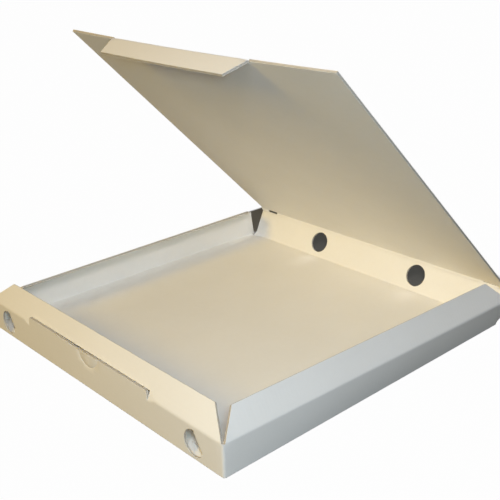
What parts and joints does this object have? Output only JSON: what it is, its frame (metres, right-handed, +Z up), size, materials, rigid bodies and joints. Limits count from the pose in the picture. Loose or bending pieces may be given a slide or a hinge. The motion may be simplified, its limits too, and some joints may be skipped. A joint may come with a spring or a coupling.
{
  "type": "pizza box",
  "caption": "Shallow square box folded from white corrugated board, with a hinged lid, a tuck flap with its slot, mitred rim flaps and round vents.",
  "frame": {"origin": "middle of the tray's underside", "axes": "+Z up, -Y towards the front wall with the slot, +Y towards the lid's hinge, +X to the right seen from the front"},
  "size_m": [0.3445, 0.3439, 0.2597],
  "materials": {
    "board": "matt white-faced corrugated board with a brown core"
  },
  "bodies": {
    "tray": {"tray": "board"},
    "front_flap": {"front_flap": "board"},
    "left_flap": {"left_flap": "board"},
    "right_flap": {"right_flap": "board"},
    "back_panel": {"back_panel": "board"},
    "lid": {"lid": "board"},
    "tuck_flap": {"tuck_flap": "board"}
  },
  "joints": [
    {"name": "back_panel_crease", "type": "hinge", "parent": "tray", "child": "back_panel", "pos_m": [0, 0.164, 0.001], "axis": [-1, 0, 0], "range_deg": [-25, 0]},
    {"name": "lid_crease", "type": "hinge", "parent": "back_panel", "child": "lid", "pos_m": [0, 0.17795, 0.03091], "axis": [-1, 0, 0], "range_deg": [-19.5, 135]},
    {"name": "tuck_crease", "type": "hinge", "parent": "lid", "child": "tuck_flap", "pos_m": [-0.007, -0.05386, 0.2587], "axis": [-1, 0, 0], "range_deg": [-20, 70]},
    {"name": "front_crease", "type": "hinge", "parent": "tray", "child": "front_flap", "pos_m": [0, -0.164, 0.0272], "axis": [1, 0, 0], "range_deg": [-46, 0]},
    {"name": "left_crease", "type": "hinge", "parent": "tray", "child": "left_flap", "pos_m": [-0.16648, 0, 0.0272], "axis": [0.0153, -0.9999, 0], "range_deg": [-22, 0]},
    {"name": "right_crease", "type": "hinge", "parent": "tray", "child": "right_flap", "pos_m": [0.16871, 0, 0.0272], "axis": [0.029, 0.9996, 0], "range_deg": [-47, 0]}
  ],
  "couplings": [
    {"joint": "front_crease", "follows": "back_panel_crease", "ratio": 1.84},
    {"joint": "left_crease", "follows": "back_panel_crease", "ratio": 0.88},
    {"joint": "right_crease", "follows": "back_panel_crease", "ratio": 1.88}
  ]
}
